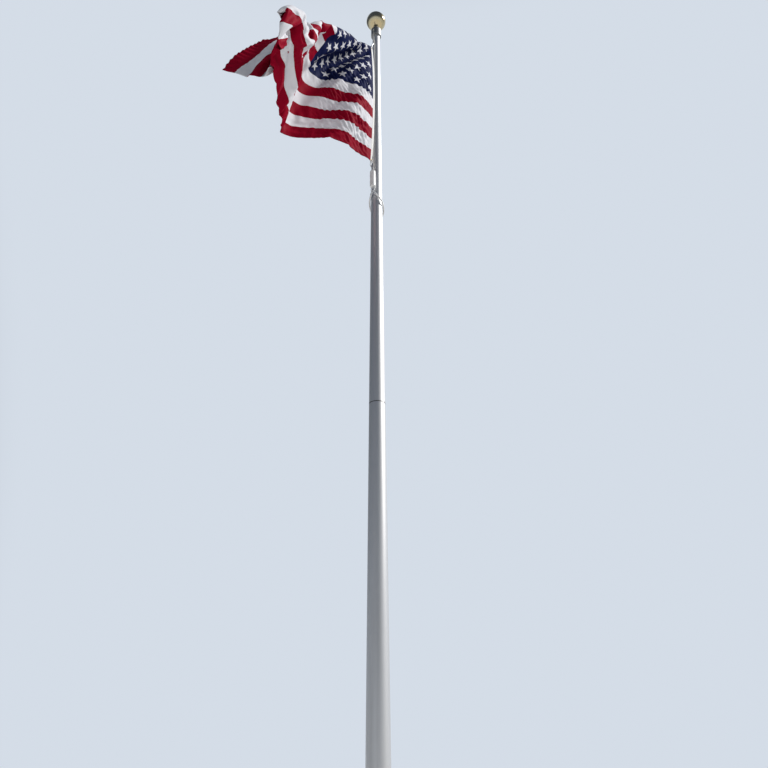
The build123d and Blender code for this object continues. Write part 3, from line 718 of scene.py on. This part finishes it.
def plate(one, two):
    """How much a bend at one place lifts a thin plate at another."""
    gap = ((one[:, None] - two[None]) ** 2).sum(-1)
    return 0.5 * gap * np.log(gap + 1e-12)


def lay_cloth(places):
    """The smooth surface of a thin plate that is bent through the known points."""
    count = len(known_places)
    system = np.zeros((count + 3, count + 3))
    system[:count, :count] = plate(known_places, known_places) + plate_give * np.eye(count)
    system[:count, count] = 1
    system[:count, count + 1:] = known_places
    system[count:, :count] = system[:count, count:].T
    loads = np.linalg.solve(system, np.concatenate([known_points, np.zeros((3, 3))]))
    return plate(places, known_places) @ loads[:count] + loads[count] + places @ loads[count + 1:]


def hold_length(points, length, right, down, give):
    """Moves pairs of neighbours towards their cut distance, in two turns so that no point moves twice."""
    for turn in (0, 1):
        if right:
            near = np.arange(0, points.shape[0] - 1)[turn::2]
            columns = np.arange(max(0, -down), points.shape[1] - max(0, down))
        else:
            near = np.arange(0, points.shape[0])
            columns = np.arange(0, points.shape[1] - 1)[turn::2]
        one, two = np.ix_(near, columns), np.ix_(near + right, columns + down)
        pull = points[two] - points[one]
        size = np.linalg.norm(pull, axis=-1, keepdims=True) + 1e-9
        move = pull * (size - length) / size * give / 2
        points[one] += move
        points[two] -= move


def ease(points, rounds, bending):
    """Keeps every thread's length, holds the known points softly and smooths the bends."""
    columns, rows = points.shape[0] - 1, points.shape[1] - 1
    wide, high = flag_fly / columns, flag_hoist / rows
    hoist = np.array([hoist_edge(share) for share in np.linspace(0, 1, rows + 1)])
    spots = known_places / (wide, high)
    cell = np.minimum(spots.astype(int), (columns - 1, rows - 1))
    inside = spots - cell
    corner = cell[:, :1] * (rows + 1) + cell[:, 1:] + np.array([[0, rows + 1, 1, rows + 2]])
    share = np.stack([
        (1 - inside[:, 0]) * (1 - inside[:, 1]), inside[:, 0] * (1 - inside[:, 1]),
        (1 - inside[:, 0]) * inside[:, 1], inside[:, 0] * inside[:, 1],
    ], axis=1)
    for _ in range(rounds):
        flat = points.reshape(-1, 3)
        miss = known_points - (flat[corner] * share[..., None]).sum(1)
        move, weight = np.zeros_like(flat), np.zeros(len(flat))
        np.add.at(move, corner.ravel(), (miss[:, None] * share[..., None]).reshape(-1, 3))
        np.add.at(weight, corner.ravel(), share.ravel())
        flat += move / np.maximum(weight, place_share)[:, None] * place_pull
        for _ in range(2):
            hold_length(points, wide, 1, 0, thread_give)
            hold_length(points, high, 0, 1, thread_give)
            hold_length(points, math.hypot(wide, high), 1, 1, bias_give)
            hold_length(points, math.hypot(wide, high), 1, -1, bias_give)
        bend = np.zeros_like(points)
        bend[1:-1] += (points[2:] + points[:-2]) / 2 - points[1:-1]
        bend[:, 1:-1] += (points[:, 2:] + points[:, :-2]) / 2 - points[:, 1:-1]
        points += bend * bending
        points[0] = hoist
    return points


def finer(points, columns, rows):
    """The same cloth on a finer grid, by smooth cubic steps between the points each way."""
    for axis, wanted in ((0, columns), (1, rows)):
        points = np.moveaxis(points, axis, 0)
        count = points.shape[0] - 1
        spots = np.linspace(0, count, wanted + 1)
        low = np.minimum(spots.astype(int), count - 1)
        part = (spots - low)[:, None, None]
        before, after = points[np.maximum(low - 1, 0)], points[np.minimum(low + 2, count)]
        one, two = points[low], points[low + 1]
        points = np.moveaxis(
            one + 0.5 * part * (two - before + part * (
                2 * before - 5 * one + 4 * two - after + part * (3 * (one - two) + after - before)
            )),
            0, axis,
        )
    return np.ascontiguousarray(points)


def cloth_grid(columns, rows):
    """The distance along the fly and down from the top hem at each point of a grid."""
    return np.meshgrid(
        np.linspace(0, flag_fly, columns + 1), np.linspace(0, flag_hoist, rows + 1), indexing="ij",
    )


grid_fly, grid_drop = cloth_grid(*first_grid)
cloth = lay_cloth(np.stack([grid_fly.ravel(), grid_drop.ravel()], -1)).reshape(*grid_fly.shape, 3)
cloth = ease(cloth, coarse_rounds, coarse_smoothing)
cloth = ease(finer(cloth, *second_grid), coarse_rounds, coarse_smoothing)
cloth = ease(finer(cloth, *third_grid), fine_rounds, fine_smoothing)
cloth = finer(cloth, *last_grid)

# Wrinkles: small waves a few millimetres high run over the cloth, finer ones crowd near the hoist, and
# the flapping corner puckers its top hem into short ripples.
taut_fly = 1.5
wrinkle_count = 70
wrinkle_ways = (0, np.pi)
wrinkle_waves = (0.05, 0.16)
wrinkle_reaches = (0.10, 0.30)
wrinkle_heights = (0.0045, 0.002)
crinkle_count = 140
crinkle_ways = (0.15, 1.1)
crinkle_waves = (0.040, 0.080)
crinkle_reaches = (0.07, 0.20)
crinkle_heights = (0.0038, 0.0038)
crinkle_fly = 0.85
crinkle_top = 0.9
cloth_rim = 0.05
hem_ripple = 0.0075
ripple_wave = 0.085
ripple_reach = 0.15
ripple_slant = 0.35
flapping_fly = 2.2
ripple_start = 0.3
hoist_hold = 0.1
dice = np.random.default_rng(7)
fly_grid, drop_grid = cloth_grid(*last_grid)
wrinkles = np.zeros_like(fly_grid)


def add_wrinkles(count, ways, waves, reaches, heights, nearest, farthest):
    """Short trains of waves, each round a middle of its own. Beyond taut_fly, the second height holds."""
    taut_height, slack_height = heights
    for _ in range(count):
        way, wave, reach = dice.uniform(*ways), dice.uniform(*waves), dice.uniform(*reaches)
        middle = dice.uniform(nearest, farthest)
        over_fly, over_drop = fly_grid - middle[0], drop_grid - middle[1]
        distance = (over_fly**2 + over_drop**2) / reach**2
        height = taut_height if middle[0] < taut_fly else slack_height
        wrinkles[...] += height * np.exp(-distance) * np.sin(
            2 * np.pi * (over_fly * math.cos(way) + over_drop * math.sin(way)) / wave
        )


add_wrinkles(
    wrinkle_count, wrinkle_ways, wrinkle_waves, wrinkle_reaches, wrinkle_heights,
    (cloth_rim, cloth_rim), (flag_fly, flag_hoist),
)
add_wrinkles(
    crinkle_count, crinkle_ways, crinkle_waves, crinkle_reaches, crinkle_heights,
    (cloth_rim, crinkle_top), (crinkle_fly, flag_hoist),
)
flapping = np.clip((fly_grid - flapping_fly) / ripple_start, 0, 1)
wrinkles += hem_ripple * flapping * np.exp(-(drop_grid / ripple_reach)**2) * np.sin(
    2 * np.pi * (fly_grid + ripple_slant * drop_grid) / ripple_wave
)
cloth_facing = sheet_normals(cloth)
cloth = cloth + cloth_facing * (wrinkles * np.minimum(1, fly_grid / hoist_hold))[..., None]
cloth_facing = sheet_normals(cloth)

# Hems and seams: the hems are turned over twice, and the stripes are joined by narrow flat seams.
cloth_thick = 0.0012
seam_thick = 0.0016
seam_half_width = 0.006
hem_thick = 0.0028
hem_width = 0.02
from_seam = np.abs((drop_grid / stripe + 0.5) % 1 - 0.5) * stripe
seams_here = from_seam < seam_half_width
in_canton = (fly_grid < canton_fly) & (drop_grid < canton_drop)
at_fly_hem = fly_grid > flag_fly - 2 * hem_width
at_long_hems = (drop_grid < hem_width) | (drop_grid > flag_hoist - hem_width)
sewn_thick = np.where(seams_here & ~in_canton, seam_thick, cloth_thick)
thickness = np.where(at_fly_hem | at_long_hems, hem_thick, sewn_thick)

# Stars: five points each, as a mask over the canton. There are five rows of six stars, and four rows of
# five between them, half a step on.
star_columns = 6
star_rows = 5
star_radius = 0.0308 * flag_hoist
star_fly = canton_fly / (2 * star_columns)
star_drop = canton_drop / (2 * star_rows)
star_point = 2 * math.pi / 5
star_waist = math.sin(star_point / 4) / math.sin(star_point * 3 / 4)
waist_high = star_waist * math.sin(star_point / 2)
waist_wide = 1 - star_waist * math.cos(star_point / 2)
stars, stars_in, stars_out = start_group(
    "stars",
    [("Fly", "NodeSocketFloat", 0.0), ("Drop", "NodeSocketFloat", 0.0),
     ("Radius", "NodeSocketFloat", star_radius)],
    [("Mask", "NodeSocketFloat")],
)


def from_middle(share):
    """How far a share lies from the middle of its own cell, from -0.5 to 0.5."""
    return reckon(stars, "SUBTRACT", reckon(stars, "FRACT", share), 0.5)


star_masks = []
for shift, least in ((0.0, 0.0), (0.5, 1.0)):
    fly_cell, drop_cell = (
        reckon(stars, "ADD", reckon(stars, "DIVIDE", stars_in.outputs[title], 2 * pitch), shift)
        for title, pitch in (("Fly", star_fly), ("Drop", star_drop))
    )
    over = reckon(stars, "MULTIPLY", from_middle(fly_cell), 2 * star_fly)
    up = reckon(stars, "MULTIPLY", from_middle(drop_cell), -2 * star_drop)
    over_squared, up_squared = reckon(stars, "MULTIPLY", over, over), reckon(stars, "MULTIPLY", up, up)
    size = reckon(stars, "SQRT", reckon(stars, "ADD", over_squared, up_squared))
    points_round = reckon(stars, "DIVIDE", reckon(stars, "ARCTAN2", over, up), star_point)
    off_point = reckon(stars, "ABSOLUTE", from_middle(reckon(stars, "ADD", points_round, 0.5)))
    lean = reckon(stars, "MULTIPLY", off_point, star_point)
    edge = reckon(
        stars, "ADD",
        reckon(stars, "MULTIPLY", reckon(stars, "SINE", lean), waist_wide),
        reckon(stars, "MULTIPLY", reckon(stars, "COSINE", lean), waist_high),
    )
    reach = reckon(stars, "MULTIPLY", stars_in.outputs["Radius"], waist_high)
    filled = reckon(stars, "LESS_THAN", reckon(stars, "MULTIPLY", size, edge), reach)
    for cell, most in ((fly_cell, star_columns), (drop_cell, star_rows)):
        filled = reckon(stars, "MULTIPLY", filled, reckon(stars, "GREATER_THAN", cell, least))
        filled = reckon(stars, "MULTIPLY", filled, reckon(stars, "LESS_THAN", cell, most))
    star_masks.append(filled)
stars.links.new(reckon(stars, "MAXIMUM", *star_masks), stars_out.inputs["Mask"])

# Flag cloth: nylon bunting dyed red, white and navy. The stars are embroidered, so they stand out a
# little, and each seam has a row of stitches.
red_cloth = (0.27, 0.002, 0.018, 1)
white_cloth = (0.75, 0.75, 0.80, 1)
blue_cloth = (0.009, 0.014, 0.066, 1)
dye_size = 6.0
dye_contrast = 1.6
dye_change = 0.14
nylon_thread = 0.0005
seam_sewing = 0.004
seam_thread = 0.0006
seam_stitch = 0.003
seam_sink = 2.0
embroidery = 3.0
cloth_relief = 0.0002
nylon_cloth, tree, shader = start_material("sewn_nylon_flag", Specular_IOR_Level=0.015)
fly, drop = cloth_places(tree, flag_fly, flag_hoist)
stripes_down = reckon(tree, "DIVIDE", drop, stripe)
white_stripe = reckon(tree, "GREATER_THAN", reckon(tree, "MODULO", stripes_down, 2.0), 1.0)
canton = reckon(tree, "MULTIPLY", reckon(tree, "LESS_THAN", fly, canton_fly),
                reckon(tree, "LESS_THAN", drop, canton_drop))
star_mask = reckon(tree, "MULTIPLY", use_group(tree, stars, Fly=fly, Drop=drop), canton)
striped = mix_colours(tree, white_stripe, red_cloth, white_cloth)
starred = mix_colours(tree, star_mask, mix_colours(tree, canton, striped, blue_cloth), white_cloth)
uneven = blotches(tree, dye_size, dye_contrast)
dyed = add_node(
    tree, "ShaderNodeVectorMath", {"operation": "SCALE"},
    Scale=vary(tree, uneven, dye_change, 1 - dye_change),
)
tree.links.new(starred, dyed.inputs[0])
bunting = use_group(tree, weave, Fly=fly, Drop=drop, Thread=nylon_thread)
seam_rows = use_group(
    tree, stitches, Across=reckon(tree, "ADD", drop, seam_sewing), Along=fly, Spacing=stripe,
    Thickness=seam_thread, Stitch=seam_stitch,
)
sewn_height = reckon(tree, "MULTIPLY_ADD", seam_rows, -seam_sink, bunting)
wire(
    tree, shader,
    Base_Color=dyed.outputs[0],
    Roughness=vary(tree, uneven, 0.12, 0.5),
    Normal=relief(tree, reckon(tree, "MULTIPLY_ADD", star_mask, embroidery, sewn_height), cloth_relief),
)

cloth_uvs = np.stack([fly_grid / flag_fly, 1 - drop_grid / flag_hoist], -1).reshape(-1, 2)
vertices, faces, places = two_sided(cloth, cloth_facing, thickness, cloth_uvs)
flag = make_piece("flying_flag", vertices, faces, nylon_cloth)
map_cloth(flag, places)
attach(flag, "truck")
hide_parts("flag")

# Snap hooks: die-cast bodies with a bright nickel plating, one at each end of the hoist. Handling has
# dulled the plating in patches.
nickel_bright = (0.78, 0.79, 0.80, 1)
nickel_dull = (0.62, 0.62, 0.62, 1)
dulled_size = 90.0
dulled_contrast = 2.4
nickel, tree, shader = start_material("nickel_plated_snap", Metallic=0.6)
dulled = blotches(tree, dulled_size, dulled_contrast)
wire(
    tree, shader,
    Base_Color=mix_colours(tree, dulled, nickel_bright, nickel_dull),
    Roughness=vary(tree, dulled, 0.25, 0.25),
)
dress(nickel, "top_snap", "bottom_snap")

# Counterweight and retainer sling: a steel weight and a cable, both dipped in white vinyl, which keep
# the flag's foot by the pole. Galvanised eyes and a link join them, and the vinyl is scuffed in places.
vinyl_clean = (0.86, 0.87, 0.88, 1)
vinyl_scuffed = (0.66, 0.66, 0.66, 1)
scuff_spread = (1, 1, 0.35)
scuff_size = 26.0
scuff_contrast = 2.8
dimple_size = 160.0
dimple_depth = 0.0004
zinc_light = (0.62, 0.63, 0.65, 1)
zinc_dark = (0.45, 0.46, 0.48, 1)
spangle_size = 240.0
vinyl, tree, shader = start_material("dipped_white_vinyl", Coat_Weight=0.15, Coat_Roughness=0.3)
scuffs = blotches(tree, scuff_size, scuff_contrast, scuff_spread)
wire(
    tree, shader,
    Base_Color=mix_colours(tree, scuffs, vinyl_clean, vinyl_scuffed),
    Roughness=vary(tree, scuffs, 0.25, 0.35),
    Normal=relief(tree, grain(tree, even, dimple_size, detail=2.0), dimple_depth),
)
dress(vinyl, "counterweight", "retainer_sling")

galvanised, tree, shader = start_material("galvanised_steel", Metallic=0.7)
spangle = add_node(tree, "ShaderNodeTexVoronoi", Vector=stretch(tree, even), Scale=spangle_size).outputs[0]
wire(
    tree, shader,
    Base_Color=mix_colours(tree, spangle, zinc_light, zinc_dark),
    Roughness=vary(tree, spangle, 0.25, 0.38),
)
dress(galvanised, "weight_eyes", "sling_link", "sling_eyes")

# Floor and backdrop: a plain pale studio, and the pole stands on its floor. The room is darker overhead,
# to the left and at the near side, so that the metal has something to reflect.
floor_colour = (0.72, 0.71, 0.69, 1)
floor_half = 30
pale_wall = (0.66, 0.72, 0.80, 1)
dark_room = (0.06, 0.08, 0.12, 1)
fill_colour = (0.80, 0.89, 1.0, 1)
fill_strength = 0.28
floor_material, tree, shader = start_material("pale_floor", Base_Color=floor_colour, Roughness=0.9)
floor = make_piece(
    "studio_floor",
    [(-floor_half, -floor_half, 0), (floor_half, -floor_half, 0),
     (floor_half, floor_half, 0), (-floor_half, floor_half, 0)],
    [(0, 1, 2, 3)], floor_material,
)

world = bpy.data.worlds.new("studio")
bpy.context.scene.world = world
world.use_nodes = True
tree = world.node_tree
tree.nodes.clear()
way_parts = add_node(
    tree, "ShaderNodeSeparateXYZ", Vector=add_node(tree, "ShaderNodeTexCoord").outputs["Generated"],
)


def fade(part, start, end):
    """Rises smoothly from 0 to 1 as one part of the way looked goes from start to end."""
    return add_node(
        tree, "ShaderNodeMapRange", {"interpolation_type": "SMOOTHSTEP"},
        Value=way_parts.outputs[part], From_Min=start, From_Max=end,
    ).outputs[0]


overhead = fade("Z", 0.80, 1.0)
near_side = fade("Y", 0.48, -0.15)
left_side = fade("X", -0.42, -0.66)
raised = fade("Z", -0.05, 0.35)
beside = reckon(tree, "MAXIMUM", near_side, left_side)
room = reckon(tree, "MAXIMUM", overhead, reckon(tree, "MULTIPLY", beside, raised))
path = add_node(tree, "ShaderNodeLightPath")
seen = reckon(tree, "MAXIMUM", path.outputs["Is Camera Ray"],
              reckon(tree, "MAXIMUM", path.outputs["Is Glossy Ray"], path.outputs["Is Transmission Ray"]))
backdrop = mix_colours(tree, room, pale_wall, dark_room)
fill_light = add_node(tree, "ShaderNodeBackground", Color=fill_colour, Strength=fill_strength)
shown = add_node(tree, "ShaderNodeBackground", Color=backdrop, Strength=1.0)
either = add_node(tree, "ShaderNodeMixShader")
tree.links.new(seen, either.inputs[0])
tree.links.new(fill_light.outputs[0], either.inputs[1])
tree.links.new(shown.outputs[0], either.inputs[2])
tree.links.new(either.outputs[0], add_node(tree, "ShaderNodeOutputWorld").inputs[0])

# Lamp: one large, soft lamp high on the right, level with the pole.
lamp_way = Vector((0.74, 0.05, 0.67))
lamp_data = bpy.data.lights.new("soft_key", "SUN")
lamp_data.energy = 4.0
lamp_data.angle = math.radians(9)
lamp_data.color = (1.0, 0.975, 0.94)
lamp = bpy.data.objects.new("soft_key", lamp_data)
lamp.rotation_euler = lamp_way.to_track_quat("Z", "Y").to_euler()
bpy.context.scene.collection.objects.link(lamp)

# Camera: at eye height, eight metres in front of the pole, tipped up to the flag.
camera_place = Vector((0.0816, -8.05, 1.6))
camera_pitch = math.radians(28.5)
camera_roll = math.radians(0.457)
focal_pixels = 769
image_pixels = 768
film_width = 36
ahead = Vector((0, math.cos(camera_pitch), math.sin(camera_pitch)))
upright = Vector((0, -math.sin(camera_pitch), math.cos(camera_pitch)))
level = Vector((1, 0, 0))
right = level * math.cos(camera_roll) - upright * math.sin(camera_roll)
up = level * math.sin(camera_roll) + upright * math.cos(camera_roll)
camera_data = bpy.data.cameras.new("photograph")
camera_data.sensor_width = film_width
camera_data.lens = film_width * focal_pixels / image_pixels
camera_data.clip_end = 200
camera = bpy.data.objects.new("photograph", camera_data)
camera.matrix_world = Matrix.Translation(camera_place) @ Matrix(
    (right, up, -ahead)
).transposed().to_4x4()
bpy.context.scene.collection.objects.link(camera)
bpy.context.scene.camera = camera
bpy.context.scene.view_settings.view_transform = "Standard"
